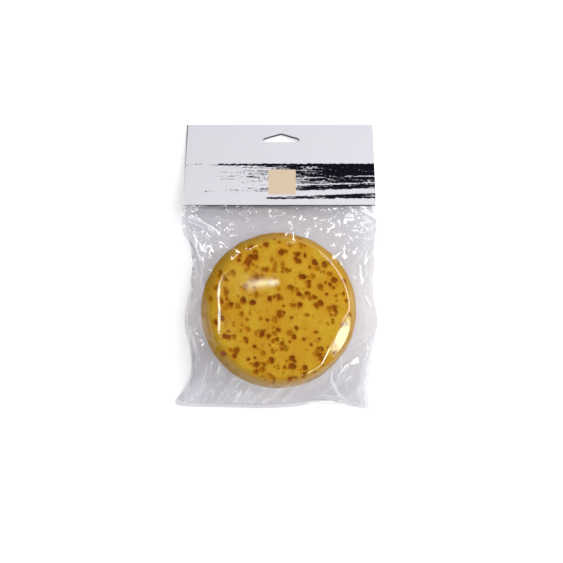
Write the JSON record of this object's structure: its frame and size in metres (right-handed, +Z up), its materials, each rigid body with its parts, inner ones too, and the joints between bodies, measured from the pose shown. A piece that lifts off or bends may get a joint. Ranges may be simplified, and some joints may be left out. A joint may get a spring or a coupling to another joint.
{
  "type": "packaged round bath sponge",
  "caption": "Round yellow foam bath sponge with open pores, in a clear film bag closed by a folded header card with a hang hole.",
  "frame": {"origin": "on the resting surface, under the middle of the pack's bounding box", "axes": "+Z up out of the resting surface, +Y from the bag's bottom weld to the header card's fold, +X to the right as the card is read"},
  "size_m": [0.178, 0.2514, 0.0418],
  "materials": {
    "sponge_foam": "open-cell polyurethane foam, dry, with large open pores",
    "clear_film": "thin glossy clear polypropylene film",
    "printed_card": "coated white board with a satin print"
  },
  "bodies": {
    "root": {"sponge": "sponge_foam", "bag": "clear_film", "header_card": "printed_card"}
  },
  "joints": []
}
